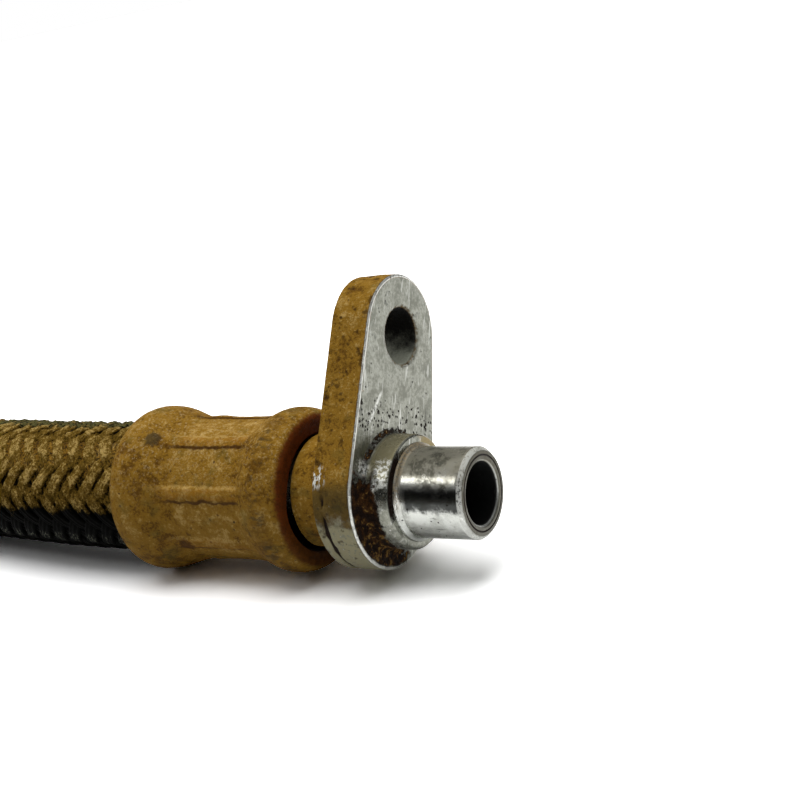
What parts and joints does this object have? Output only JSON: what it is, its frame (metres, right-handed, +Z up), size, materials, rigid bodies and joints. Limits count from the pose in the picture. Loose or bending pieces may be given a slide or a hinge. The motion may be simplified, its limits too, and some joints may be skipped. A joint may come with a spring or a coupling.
{
  "type": "oil cooler hose",
  "caption": "Braided oil cooler hose with a crimped flange fitting on each end: turned spigot, teardrop bolt plate and bulged ferrule, dirty from use.",
  "frame": {"origin": "on the surface that the hose lies on, under the middle of the near fitting's box", "axes": "+X along the near spigot towards its tip, +Z up from the surface, +Y away from the viewer"},
  "size_m": [0.2128, 0.2006, 0.0363],
  "materials": {
    "flange_steel": "bare scratched face, dried mud on the edge and back, rust round the collar",
    "stem_steel": "polished by its seal, light scratches",
    "ferrule_steel": "coated in dried ochre mud",
    "braided_hose": "textile braid over rubber, caked with mud on its upper side, dark below"
  },
  "bodies": {
    "root": {"near_flange": "flange_steel", "near_stem": "stem_steel", "near_ferrule": "ferrule_steel", "hose": "braided_hose", "far_ferrule": "ferrule_steel", "far_flange": "flange_steel", "far_stem": "stem_steel"}
  },
  "joints": []
}
